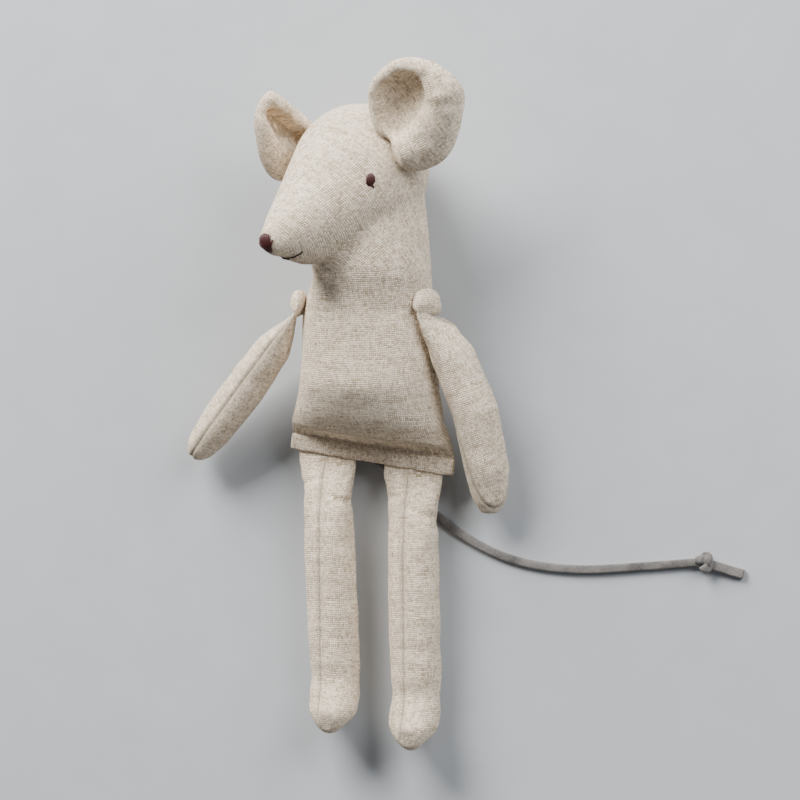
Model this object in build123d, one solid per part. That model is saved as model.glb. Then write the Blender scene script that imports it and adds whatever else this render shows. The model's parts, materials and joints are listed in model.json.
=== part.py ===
"""Stuffed linen mouse doll, lying on its back. Millimetres. +Z is up, +Y runs from the hem to the head.

The origin is the centre of the flat of the back, on the surface that the doll lies on. Left and right are
the mouse's own, so its left arm is on the +X side. Every padded part is a skin of linen panels round a core
of fibre stuffing. Limbs are sewn flat where they join the body and turn about those lines of stitching.
"""
import os
from math import atan2, cos, degrees, hypot, pi, radians, sin, sqrt

from build123d import *

# Cloth, thread and clearances
CLOTH = 0.7            # linen with its turned seam allowance
CLEARANCE = 0.3        # between pieces that move past each other
SHOULDER_GAP = 0.9     # between the torso and the flap that an arm hangs from
HIP_GAP = 1.0          # between the hem and a leg's flat top, so that the leg can fold up
THREAD_RADIUS = 0.8    # bundle of stitches that a limb turns about
THREAD_GAP = 0.1       # running gap round a thread

# Torso: a bag of a front and a back panel, open at the neck
NECK_Y = 37.0          # origin to the neck
NECK_RADIUS = 20.2
NECK_X = 1.5           # the head lies a little to the doll's left
SHOULDER_Y = 24.0
SHOULDER_HALF_WIDTH = 21.5
SHOULDER_HALF_DEPTH = 18.6
BELLY_HALF_WIDTH = 24.0
BELLY_HALF_DEPTH = 17.2
LOW_BELLY_Y = -11.5
LOW_BELLY_HALF_WIDTH = 26.6
LOW_BELLY_HALF_DEPTH = 13.4
BACK_FLAT = 1.0        # how far the back is pressed flat by the surface

# Hem: the flat seam that closes the torso and holds the legs and the tail
HEM_X = -1.3
HEM_Y = -20.2          # where the stuffing ends and the flat hem starts
HEM_Z = 10.0
HEM_HALF_WIDTH = 28.6
HEM_HEIGHT = 4.6
HEM_MOUTH = 2.0        # half the torso's depth where it meets the hem
HEM_SKEW = -9.0        # degrees about Z: the doll's left corner hangs lower
HEM_LAP = 0.4          # how far the hem reaches up into the panels

# Head: a ball and a cone that taper to the nose, on a conical neck
HEAD_TURN = 35.0       # degrees that the head is turned to the doll's right
CRANIUM_RADIUS = 22.8
CRANIUM_FORWARD = 4.0  # from the neck's axis
CRANIUM_Y = 69.4
SNOUT_RADIUS = 5.0
SNOUT_FORWARD = 40.0
SNOUT_Y = 46.6
NAPE_RADIUS = 18.6     # the neck cone's radius at its top
NAPE_Y = 67.0

# Face, embroidered in thread
NOSE_RADIUS = 3.8
EYE_RADIUS = 2.0
EYE_AZIMUTH = 58.0     # degrees from straight ahead
EYE_Y = 66.6
STITCH_HEIGHT = 0.8    # how far embroidery stands off the linen
MOUTH_BACK = 8.0       # from the snout ball's centre, along the snout
MOUTH_THREAD = 0.55
MOUTH_ARC = 75.0       # degrees of the snout that the mouth spans

# Ears: shallow bowls of two panels and thin wadding
EAR_RADIUS = 16.3
EAR_BOWL = 28.0        # radius of curvature of the hollow face
EAR_THICKNESS = 4.0
EAR_AZIMUTH = 80.0     # degrees from straight ahead
EAR_ELEVATION = 21.0
EAR_ROOT_GAP = 1.1     # room between the ear and the head for it to bend
EAR_ROOT_CUT = 3.6     # the rim is cut straight here and sewn to the head
LEFT_EAR_AXIS = (0.67, 0.70, 0.25)
LEFT_EAR_FACES = (0.05, -0.30, 0.95)
RIGHT_EAR_AXIS = (-0.52, 0.33, 0.78)
RIGHT_EAR_FACES = (0.74, -0.26, 0.62)

# Arms: tubes, flat at the shoulder, that end in a plain rounded hand
ARM_WIDTH = 15.8
ARM_THICKNESS = 13.4
ARM_FLAT_WIDTH = 15.0
ARM_FLAT_THICKNESS = 1.4
LEFT_SHOULDER_ANGLE = 20.0   # degrees round the torso's side, towards the front
RIGHT_SHOULDER_ANGLE = 12.0
TAB_HEIGHT = 8.0
TAB_THICKNESS = 2.6
LEFT_HAND = (BELLY_HALF_WIDTH + 15.0, -43.0, 7.4)    # this arm hangs beside the belly
RIGHT_HAND = (-64.8, -24.2, 8.2)
LEFT_ARM_BOW = 2.9 + BELLY_HALF_WIDTH - SHOULDER_HALF_WIDTH  # how far it curves away from the body
RIGHT_ARM_BOW = -0.8
LEFT_ARM_TWIST = 50.0  # degrees the arm turns about its own length below the shoulder
RIGHT_ARM_TWIST = 6.0

# Legs: tubes, flat at the hem, that end in a foot
LEG_RADIUS = 8.6
LEG_FLAT_HALF_WIDTH = 10.2
LEG_FLAT_THICKNESS = 1.5
LEG_LENGTH = 91.0
LEG_REST_Z = 8.8       # height of the leg's axis where it lies on the surface
LEFT_HIP_X = 13.2
RIGHT_HIP_X = -16.7
LEFT_FOOT_X = 14.0
RIGHT_FOOT_X = -13.6
FOOT_RISE = 11.0       # how far the toe points up
FOOT_LENGTH = 19.0     # ankle to the end of the foot

# Tail: a flat leather lace, knotted near its end
TAIL_WIDTH = 2.8
TAIL_THICKNESS = 1.8
TAIL_POINTS = [
    (-1.0, -23.2, 9.5), (3.4, -29.2, 5.6), (10.0, -36.0, 1.6), (19.5, -44.0, 0.95), (31.5, -52.6, 0.95),
    (47.0, -59.2, 0.95), (66.5, -61.5, 0.95), (88.0, -59.9, 0.95), (109.3, -57.9, 0.95),
]
RUN_SHARE = 0.45       # share of the shorter run that an arc may use
KNOT_RADIUS = 3.0
KNOT_CENTRE = (109.8, -57.9, 3.0)
TIP_LENGTH = 10.5
TIP_ANGLE = -18.0
TIP_WIDTH = 3.2
TIP_THICKNESS = 1.5

RING_POINTS = 12       # points that shape each section of a padded part

# Values that follow from those above
SIDES = {"left": 1, "right": -1}
NECK_Z = NECK_RADIUS                                  # the neck lies on the surface
SEAM_SLOPE = degrees(atan2(NECK_Z - HEM_Z, NECK_Y - HEM_Y))
SEAM_NORMAL = Vector(0, -sin(radians(SEAM_SLOPE)), cos(radians(SEAM_SLOPE)))
HEM_DIRECTION = Vector(cos(radians(HEM_SKEW)), sin(radians(HEM_SKEW)), 0)
FORWARD = Vector(-sin(radians(HEAD_TURN)), 0, cos(radians(HEAD_TURN)))
HEAD_LEFT = Vector(cos(radians(HEAD_TURN)), 0, sin(radians(HEAD_TURN)))
UP = Vector(0, 1, 0)
NECK_AXIS = Vector(NECK_X, 0, NECK_Z)


def head_point(forward, y, left=0.0):
    """A point given in the head's own directions: forward and left of the neck's axis, at height y."""
    return NECK_AXIS + FORWARD * forward + HEAD_LEFT * left + UP * y


CRANIUM = head_point(CRANIUM_FORWARD, CRANIUM_Y)
SNOUT = head_point(SNOUT_FORWARD, SNOUT_Y)
SNOUT_AXIS = (SNOUT - CRANIUM).normalized()
SNOUT_REACH = (SNOUT - CRANIUM).length


def keep_side(shape, origin, normal):
    """The part of a shape on the side of a plane that its normal points to."""
    return split(shape, bisect_by=Plane(origin=origin, z_dir=normal), keep=Keep.TOP)


def ring(centre, width_direction, along, half_width, half_depth, turn=0.0):
    """An oval section of a padded part. A turn swings the oval's width round but not where its outline starts."""
    swing = radians(turn)
    outline = []
    for n in range(RING_POINTS):
        angle = 2 * pi * n / RING_POINTS - swing
        wide, deep = half_width * cos(angle), half_depth * sin(angle)
        outline.append((wide * cos(swing) - deep * sin(swing), wide * sin(swing) + deep * cos(swing)))
    face = make_face(Wire(Spline(*outline, periodic=True)))
    return Plane(origin=centre, x_dir=width_direction, z_dir=along) * face


def bag(rings):
    """A padded part through its sections, listed from its flat or narrow end and built from its full one."""
    return loft(rings[::-1], ruled=True)


def two_panels(skin, origin, normal):
    """A skin cut along its seams into the panel that the normal points to and the other one."""
    return keep_side(skin, origin, normal), keep_side(skin, origin, normal * -1)


# Torso


def torso_ring(y, x, z, half_width, half_depth, skew=0.0):
    along = Vector(sin(radians(skew)), -cos(radians(skew)), 0)
    width_direction = Vector(cos(radians(skew)), sin(radians(skew)), 0)
    return ring(Vector(x, y, z), width_direction, along, half_width, half_depth)


def torso_bag(inset):
    """The torso's outside, or with an inset the space inside its cloth."""
    depths = [SHOULDER_HALF_DEPTH, BELLY_HALF_DEPTH, LOW_BELLY_HALF_DEPTH]
    heights = [depth - BACK_FLAT for depth in depths]
    rings = [
        torso_ring(HEM_Y + inset, HEM_X, HEM_Z, HEM_HALF_WIDTH - inset, HEM_MOUTH - inset, HEM_SKEW),
        torso_ring(LOW_BELLY_Y, HEM_X * 0.5, heights[2], LOW_BELLY_HALF_WIDTH - inset, depths[2] - inset,
                   HEM_SKEW * 0.7),
        torso_ring(0, 0, heights[1], BELLY_HALF_WIDTH - inset, depths[1] - inset, HEM_SKEW * 0.2),
        torso_ring(SHOULDER_Y, 0, heights[0], SHOULDER_HALF_WIDTH - inset, depths[0] - inset),
        torso_ring(NECK_Y, NECK_X, NECK_Z, NECK_RADIUS - inset, NECK_RADIUS - inset),
    ]
    return keep_side(bag(rings), Vector(0, 0, inset), Vector(0, 0, 1))


def hem_strip():
    """The flat hem: both panels' seam allowances, pressed together and stitched through."""
    middle = Vector(HEM_X, HEM_Y + HEM_LAP, HEM_Z)
    plane = Plane(origin=middle, x_dir=HEM_DIRECTION, z_dir=SEAM_NORMAL)
    height = HEM_HEIGHT + HEM_LAP
    return plane * Pos(0, -height / 2, 0) * Box(2 * HEM_HALF_WIDTH, height, 2 * CLOTH)


def torso_parts(lace):
    """The torso's panels and stuffing. The tail's lace is caught between the panels in the hem."""
    outside, inside = torso_bag(0), torso_bag(CLOTH)
    hem_origin = Vector(HEM_X, HEM_Y, HEM_Z)
    front, back = two_panels(outside - inside, hem_origin, SEAM_NORMAL)
    hem_front, hem_back = two_panels(hem_strip() - inside, hem_origin, SEAM_NORMAL)
    return {
        "torso_front_panel": front + hem_front - lace,
        "torso_back_panel": back + hem_back - lace,
        "torso_stuffing": inside,
    }


# Head


def head_ball_and_snout(inset):
    """The cranium's ball and the cone that is tangent to it and to the small ball at the nose."""
    ball, tip = CRANIUM_RADIUS - inset, SNOUT_RADIUS - inset
    plane = Plane(origin=CRANIUM, x_dir=SNOUT_AXIS, z_dir=HEAD_LEFT)
    lean = (CRANIUM_RADIUS - SNOUT_RADIUS) / SNOUT_REACH
    out = sqrt(1 - lean ** 2)
    ball_end, tip_end = (ball * lean, ball * out), (SNOUT_REACH + tip * lean, tip * out)
    back, front = (-ball, 0), (SNOUT_REACH + tip, 0)
    ball_middle = (ball * cos(radians(120)), ball * sin(radians(120)))
    bend = hypot(1 + lean, out)
    tip_middle = (SNOUT_REACH + tip * (1 + lean) / bend, tip * out / bend)
    outline = [
        ThreePointArc(back, ball_middle, ball_end), Line(ball_end, tip_end),
        ThreePointArc(tip_end, tip_middle, front), Line(front, back),
    ]
    profile = plane * make_face(Wire(outline))
    return revolve(profile, Axis(CRANIUM, SNOUT_AXIS), 360)


def head_bag(inset):
    neck_start = NECK_Y + CLEARANCE
    rings = [
        ring(NECK_AXIS + UP * y, HEAD_LEFT, UP, radius - inset, radius - inset)
        for y, radius in ((neck_start, NECK_RADIUS), (NAPE_Y - inset, NAPE_RADIUS))
    ]
    return bag(rings) + head_ball_and_snout(inset)


def eye(side):
    azimuth = radians(EYE_AZIMUTH)
    rise = (EYE_Y - CRANIUM_Y) / CRANIUM_RADIUS
    level = FORWARD * cos(azimuth) + HEAD_LEFT * (side * sin(azimuth))
    direction = (level + UP * rise).normalized()
    return Pos(*(CRANIUM + direction * (CRANIUM_RADIUS + STITCH_HEIGHT - EYE_RADIUS))) * Sphere(EYE_RADIUS)


def nose():
    return Pos(*(SNOUT + SNOUT_AXIS * (SNOUT_RADIUS + STITCH_HEIGHT - NOSE_RADIUS))) * Sphere(NOSE_RADIUS)


def mouth():
    """A line of thread round the underside of the snout."""
    lean = (CRANIUM_RADIUS - SNOUT_RADIUS) / SNOUT_REACH
    slope = lean / sqrt(1 - lean ** 2)
    radius = SNOUT_RADIUS / sqrt(1 - lean ** 2) + MOUTH_BACK * slope
    centre = SNOUT - SNOUT_AXIS * MOUTH_BACK
    under = HEAD_LEFT.cross(SNOUT_AXIS)
    under = under if under.Y < 0 else under * -1
    start = under.rotate(Axis((0, 0, 0), SNOUT_AXIS), -MOUTH_ARC / 2)
    section = Plane(origin=centre + start * radius, z_dir=SNOUT_AXIS.cross(start)) * Circle(MOUTH_THREAD)
    return revolve(section, Axis(centre, SNOUT_AXIS), MOUTH_ARC)


def head_parts():
    outside, inside = head_bag(0), head_bag(CLOTH)
    left, right = two_panels(outside - inside, NECK_AXIS, HEAD_LEFT)
    return {
        "head_left_panel": left,
        "head_right_panel": right,
        "head_stuffing": inside,
        "left_eye": eye(1) - outside,
        "right_eye": eye(-1) - outside,
        "nose": nose() - outside,
        "mouth": mouth() - outside,
    }


# Ears


def ear_root(side):
    azimuth, elevation = radians(EAR_AZIMUTH), radians(EAR_ELEVATION)
    level = FORWARD * cos(azimuth) + HEAD_LEFT * (side * sin(azimuth))
    return CRANIUM + (level * cos(elevation) + UP * sin(elevation)) * (CRANIUM_RADIUS + EAR_ROOT_GAP)


def ear_parts(name, side, axis, faces):
    axis = Vector(*axis).normalized()
    faces = Vector(*faces)
    faces = (faces - axis * faces.dot(axis)).normalized()
    centre = ear_root(side) + axis * (EAR_RADIUS - EAR_ROOT_CUT)
    plane = Plane(origin=centre, x_dir=axis, z_dir=faces)
    rim_height = sqrt(EAR_BOWL ** 2 - EAR_RADIUS ** 2)
    depth = EAR_BOWL + EAR_THICKNESS
    disc = Pos(0, 0, -depth / 2) * Cylinder(EAR_RADIUS, depth)
    disc -= Pos(-2 * EAR_RADIUS + EAR_ROOT_CUT, 0, -depth / 2) * Box(2 * EAR_RADIUS, 2 * EAR_RADIUS, depth)
    shells = [EAR_BOWL, EAR_BOWL + CLOTH, EAR_BOWL + EAR_THICKNESS - CLOTH, EAR_BOWL + EAR_THICKNESS]
    balls = [Pos(0, 0, rim_height) * Sphere(radius) for radius in shells]
    layers = [(balls[n + 1] - balls[n]) & disc for n in range(3)]
    head_room = Pos(*CRANIUM) * Sphere(CRANIUM_RADIUS + EAR_ROOT_GAP)
    names = ("front_panel", "wadding", "back_panel")
    return {f"{name}_ear_{layer}": plane * layers[n] - head_room for n, layer in enumerate(names)}


# Arms


def shoulder(side):
    """The point on the torso's side where an arm is sewn, the way out of the body and the stitching's line."""
    angle = radians(LEFT_SHOULDER_ANGLE if side > 0 else RIGHT_SHOULDER_ANGLE)
    point = Vector(side * SHOULDER_HALF_WIDTH * cos(angle), SHOULDER_Y,
                   SHOULDER_HALF_DEPTH - BACK_FLAT + SHOULDER_HALF_DEPTH * sin(angle))
    out = Vector(side * cos(angle) / SHOULDER_HALF_WIDTH, 0, sin(angle) / SHOULDER_HALF_DEPTH).normalized()
    stitch_line = Vector(-side * out.Z, 0, side * out.X)
    return point, out, stitch_line


def shoulder_pivot(side):
    point, out, _ = shoulder(side)
    return point + out * (SHOULDER_GAP + TAB_THICKNESS / 2)


def arm_rings(side, hand, bow, twist, inset):
    """Sections from the flat top of an arm to its hand, along a gently bowed line."""
    start = shoulder_pivot(side)
    _, _, stitch_line = shoulder(side)
    reach = Vector(*hand) - start
    length = reach.length
    square = (reach - stitch_line * reach.dot(stitch_line)).normalized()
    outward = (Vector(side, 0, 0) - reach * (reach.X * side / length ** 2)).normalized()
    half_width, half_depth = ARM_WIDTH / 2, ARM_THICKNESS / 2
    sizes = [
        (0.09, 0.97 * half_width, 0.36 * half_depth), (0.22, 0.97 * half_width, 0.86 * half_depth),
        (0.5, half_width, half_depth), (0.78, 0.95 * half_width, 0.95 * half_depth),
        (0.92, 0.72 * half_width, 0.75 * half_depth), (0.98, 0.4 * half_width, 0.42 * half_depth),
    ]
    rings = []
    if not inset:
        flat = start + square * (THREAD_RADIUS + CLEARANCE)
        rings.append(ring(flat, stitch_line, square, ARM_FLAT_WIDTH / 2, ARM_FLAT_THICKNESS / 2))
    for share, wide, deep in sizes:
        centre = start + reach * share + outward * (4 * bow * share * (1 - share))
        onward = (reach + outward * (4 * bow * (1 - 2 * share))).normalized()
        settled = min(1.0, share / 0.35)
        along = (square * (1 - settled) + onward * settled).normalized()
        line = (stitch_line - along * stitch_line.dot(along)).normalized()
        rings.append(ring(centre, line, along, wide - inset, deep - inset, side * twist * settled))
    return rings


def arm_parts(name, side, hand, bow, twist):
    outside = bag(arm_rings(side, hand, bow, twist, 0))
    inside = bag(arm_rings(side, hand, bow, twist, CLOTH))
    start = shoulder_pivot(side)
    reach = Vector(*hand) - start
    _, _, stitch_line = shoulder(side)
    across = stitch_line.rotate(Axis((0, 0, 0), reach), side * twist * 0.7).cross(reach)
    across = across if across.X * side > 0 else across * -1
    outer, inner = two_panels(outside - inside, start + reach * 0.5, across.normalized())
    return {
        f"{name}_arm_outer_panel": outer,
        f"{name}_arm_inner_panel": inner,
        f"{name}_arm_stuffing": inside,
    }


def shoulder_parts(name, side, torso_outside):
    """The unstuffed top of the arm above its stitching, the stitching, and the thread that holds it on."""
    point, out, stitch_line = shoulder(side)
    pivot = shoulder_pivot(side)
    plane = Plane(origin=pivot, x_dir=stitch_line * -side, z_dir=out)
    stitches = Plane(origin=pivot, z_dir=stitch_line) * Cylinder(THREAD_RADIUS, ARM_FLAT_WIDTH)
    half = ARM_FLAT_WIDTH / 2
    lobe = Ellipse(half, TAB_HEIGHT) & Pos(0, TAB_HEIGHT / 2) * Rectangle(2 * half, TAB_HEIGHT)
    flap = Pos(0, 0, -TAB_THICKNESS / 2) * extrude(lobe, TAB_THICKNESS)
    flap = fillet(flap.edges().filter_by(GeomType.ELLIPSE), TAB_THICKNESS * 0.4)
    shank_length = SHOULDER_GAP + TAB_THICKNESS / 2 - THREAD_RADIUS - THREAD_GAP
    shank_place = Plane(origin=point, z_dir=out) * Pos(0, 0, (shank_length - CLOTH) / 2)
    shank = shank_place * Cylinder(THREAD_RADIUS, shank_length + CLOTH)
    hole = shank_place * Cylinder(THREAD_RADIUS + THREAD_GAP / 2, shank_length + CLOTH + THREAD_GAP)
    return {
        f"{name}_shoulder_flap": plane * flap - stitches - hole,
        f"{name}_shoulder_stitches": stitches,
        f"{name}_shoulder_thread": shank - torso_outside,
    }


# Legs


def hip(x):
    """The middle of a leg's flat top, just below the hem."""
    down = SEAM_NORMAL.cross(HEM_DIRECTION) * -1
    edge = Vector(HEM_X, HEM_Y, HEM_Z) + down * (HEM_HEIGHT + HIP_GAP)
    return edge + HEM_DIRECTION * ((x - edge.X) / HEM_DIRECTION.X)


def leg_rings(hip_x, foot_x, inset):
    """Sections from the flat top of a leg, down its tube and round into a foot whose toe points up."""
    top = hip(hip_x)
    lean = (foot_x - hip_x) / LEG_LENGTH
    ankle = LEG_LENGTH - FOOT_LENGTH
    radius = LEG_RADIUS
    rings = []
    if not inset:
        rings.append(ring(top, HEM_DIRECTION, HEM_DIRECTION.cross(Vector(0, 0, 1)), LEG_FLAT_HALF_WIDTH,
                          LEG_FLAT_THICKNESS / 2))
    tube = [
        (5.0, 1.06, 0.32), (11.0, 1.02, 0.64), (18.0, 1.0, 0.88), (28.0, 1.0, 0.99), (0.7 * ankle, 0.98, 0.97),
        (ankle, 0.97, 0.96),
    ]
    for down, wide, deep in tube:
        height = top.Z + (LEG_REST_Z - top.Z) * min(1.0, down / (0.5 * ankle))
        skew = radians(HEM_SKEW) * max(0.0, 1 - down / 18.0)
        centre = Vector(top.X + lean * down, top.Y - down, height)
        line = Vector(cos(skew), sin(skew), 0)
        rings.append(ring(centre, line, line.cross(Vector(0, 0, 1)), wide * radius - inset, deep * radius - inset))
    foot = [(0.4, 0.12, 22.0, 1.0, 0.99), (0.68, 0.4, 46.0, 0.95, 0.93), (0.82, 0.8, 62.0, 0.72, 0.7),
            (0.86, 1.06, 70.0, 0.42, 0.4)]
    for share, rise, tilt, wide, deep in foot:
        down = ankle + FOOT_LENGTH * share
        centre = Vector(top.X + lean * down, top.Y - down, LEG_REST_Z + FOOT_RISE * rise)
        along = Vector(0, -cos(radians(tilt)), sin(radians(tilt)))
        rings.append(ring(centre, Vector(1, 0, 0), along, wide * radius - inset, deep * radius - inset))
    return rings


def leg_parts(name, side, hip_x, foot_x):
    outside, inside = bag(leg_rings(hip_x, foot_x, 0)), bag(leg_rings(hip_x, foot_x, CLOTH))
    across = Vector(LEG_LENGTH, foot_x - hip_x, 0).normalized() * side
    outer, inner = two_panels(outside - inside, hip(hip_x), across)
    return {
        f"{name}_leg_outer_panel": outer,
        f"{name}_leg_inner_panel": inner,
        f"{name}_leg_stuffing": inside,
    }


# Tail


def lace_radii(points):
    """The radius of each bend of the lace: as large as the shorter of its two runs allows."""
    radii = []
    for before, here, after in zip(points, points[1:], points[2:]):
        first, second = Vector(*here) - Vector(*before), Vector(*after) - Vector(*here)
        turn = radians(first.get_angle(second))
        radii.append(RUN_SHARE * min(first.length, second.length) / (sin(turn / 2) / cos(turn / 2)))
    return radii


def tail_parts():
    radii = lace_radii(TAIL_POINTS)
    print("tail bend radii", [round(radius, 1) for radius in radii])
    route = FilletPolyline(*TAIL_POINTS, radius=radii)
    start = Plane(origin=route @ 0, x_dir=HEM_DIRECTION, z_dir=route % 0)
    lace = sweep(start * Ellipse(TAIL_WIDTH / 2, TAIL_THICKNESS / 2), route)
    section = pi * TAIL_WIDTH * TAIL_THICKNESS / 4
    print("tail volume", round(lace.volume, 1), "section times length", round(section * route.length, 1),
          "length", round(route.length, 1))
    knot = Pos(*KNOT_CENTRE) * Sphere(KNOT_RADIUS)
    tip = Pos(KNOT_CENTRE[0], KNOT_CENTRE[1], TIP_THICKNESS / 2 + THREAD_GAP) * Rot(0, 0, TIP_ANGLE)
    tip = tip * Pos(KNOT_RADIUS / 2 + TIP_LENGTH / 2, 0, 0) * Box(TIP_LENGTH + KNOT_RADIUS, TIP_WIDTH, TIP_THICKNESS)
    return {"tail_lace": lace - knot, "tail_knot": knot, "tail_tip": tip - knot}


def all_parts():
    tail = tail_parts()
    parts = {**torso_parts(tail["tail_lace"]), **head_parts(), **tail}
    torso_outside = torso_bag(0)
    arms = {"left": (LEFT_HAND, LEFT_ARM_BOW, LEFT_ARM_TWIST), "right": (RIGHT_HAND, RIGHT_ARM_BOW, RIGHT_ARM_TWIST)}
    legs = {"left": (LEFT_HIP_X, LEFT_FOOT_X), "right": (RIGHT_HIP_X, RIGHT_FOOT_X)}
    ears = {"left": (LEFT_EAR_AXIS, LEFT_EAR_FACES), "right": (RIGHT_EAR_AXIS, RIGHT_EAR_FACES)}
    for name, side in SIDES.items():
        parts.update(ear_parts(name, side, *ears[name]))
        parts.update(arm_parts(name, side, *arms[name]))
        parts.update(shoulder_parts(name, side, torso_outside))
        parts.update(leg_parts(name, side, *legs[name]))
    return parts


os.makedirs("parts", exist_ok=True)
for node, shape in all_parts().items():
    export_step(shape, f"parts/{node}.step")
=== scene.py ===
"""Stuffed linen mouse doll, lying on its back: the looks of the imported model, in metres and in its own frame.

Every padded part starts from its stuffed solid, is blown up as a bag of cloth, and is then sewn: its seams
are drawn in, the cloth puckers beside them, and each panel carries the weave along its own grain.
"""
import json
import math

import bmesh
import bpy
import numpy as np
from mathutils import Matrix, Vector, noise
from mathutils.bvhtree import BVHTree


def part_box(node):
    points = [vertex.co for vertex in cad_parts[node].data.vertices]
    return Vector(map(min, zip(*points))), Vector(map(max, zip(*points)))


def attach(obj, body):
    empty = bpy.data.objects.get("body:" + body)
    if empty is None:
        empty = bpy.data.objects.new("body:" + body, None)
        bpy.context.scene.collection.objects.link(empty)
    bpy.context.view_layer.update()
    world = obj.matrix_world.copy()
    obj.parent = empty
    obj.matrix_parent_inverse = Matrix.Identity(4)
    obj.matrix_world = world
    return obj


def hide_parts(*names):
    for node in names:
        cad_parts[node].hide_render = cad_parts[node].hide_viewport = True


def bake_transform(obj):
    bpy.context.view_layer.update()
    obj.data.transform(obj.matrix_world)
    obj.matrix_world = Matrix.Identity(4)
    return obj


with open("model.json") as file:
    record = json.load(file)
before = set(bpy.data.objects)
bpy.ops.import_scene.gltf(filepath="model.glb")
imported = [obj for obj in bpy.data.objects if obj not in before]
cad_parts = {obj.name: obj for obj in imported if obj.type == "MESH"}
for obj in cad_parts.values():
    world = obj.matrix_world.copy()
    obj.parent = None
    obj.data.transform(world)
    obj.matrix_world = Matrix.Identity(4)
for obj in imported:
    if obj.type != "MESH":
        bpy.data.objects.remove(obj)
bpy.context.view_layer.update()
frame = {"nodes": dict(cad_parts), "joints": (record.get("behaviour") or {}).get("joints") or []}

MM = 0.001

# Cloth
BODY_VOXEL = 1.15 * MM
LIMB_VOXEL = 0.85 * MM
CLOTH = 0.7 * MM
SIM_SCALE = 10.0        # the bags are blown up at the size of cushions, which the solver handles well
SIM_FRAMES = 20
NEAR = 3.0 * MM         # pieces further inside each other than this aren't pushed apart
FLOOR_GAP = 0.05 * MM
THREAD_PITCH = 0.68     # millimetres between the linen's threads

# Hem
HEM_CENTRE_X = -1.3 * MM
HEM_HALF_WIDTH = 28.6 * MM
HEM_TOP = 5.6 * MM              # the strip's upper edge, tucked under the torso's cloth
HEM_BOTTOM = 0.5 * MM
TORSO_HALF_WIDTH = 28.2 * MM    # the torso's cloth ends just inside the strip's ends

# Face, from the model's origin
SKULL_Y = 69.0 * MM
CHIN_Y = 40.0 * MM
CHIN_REACH = 36.0 * MM          # in front of the neck's axis

# Tail, as its route is set in the model
TAIL_WIDTH = 2.8 * MM
TAIL_THICKNESS = 1.8 * MM
TAIL_POINTS = [
    (-1.0, -23.2, 9.5), (3.4, -29.2, 5.6), (10.0, -36.0, 1.6), (19.5, -44.0, 0.95), (31.5, -52.6, 0.95),
    (47.0, -59.2, 0.95), (66.5, -61.5, 0.95), (88.0, -59.9, 0.95), (109.3, -57.9, 0.95),
]

# Camera and floor
CAMERA_YAW = 15.0       # degrees towards the doll's left
CAMERA_DISTANCE = 0.9
CAMERA_TARGET = Vector((8.9, -5.0, 10.0)) * MM
VIEW_WIDTH = 266.7 * MM  # across the view at the target
SENSOR = 36.0

joints = {joint["name"]: joint for joint in frame["joints"]}


def joint_place(name):
    return Vector(joints[name]["pos_m"])


def joint_axis(name):
    return Vector(joints[name]["axis"]).normalized()


# Materials


def linear(code):
    """An sRGB hex colour as the linear RGBA that Blender's sockets take."""
    channels = [int(code[n:n + 2], 16) / 255 for n in (1, 3, 5)]
    return [c / 12.92 if c <= 0.04045 else ((c + 0.055) / 1.055) ** 2.4 for c in channels] + [1.0]


def add(tree, kind, settings=None, **inputs):
    """Add a node: settings are its properties, inputs are values or the sockets that feed it, named or as i0."""
    node = tree.nodes.new(kind)
    for name, value in (settings or {}).items():
        setattr(node, name, value)
    for name, value in inputs.items():
        numbered = name[0] == "i" and name[1:].isdigit()
        socket = node.inputs[int(name[1:]) if numbered else name.replace("_", " ")]
        if isinstance(value, bpy.types.NodeSocket):
            tree.links.new(value, socket)
        else:
            socket.default_value = value
    return node


def new_material(name):
    material = bpy.data.materials.new(name)
    material.use_nodes = True
    tree = material.node_tree
    tree.nodes.clear()
    return material, tree


def maths(tree, operation, a, b=0.0, c=0.0):
    return add(tree, "ShaderNodeMath", {"operation": operation}, i0=a, i1=b, i2=c).outputs[0]


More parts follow.
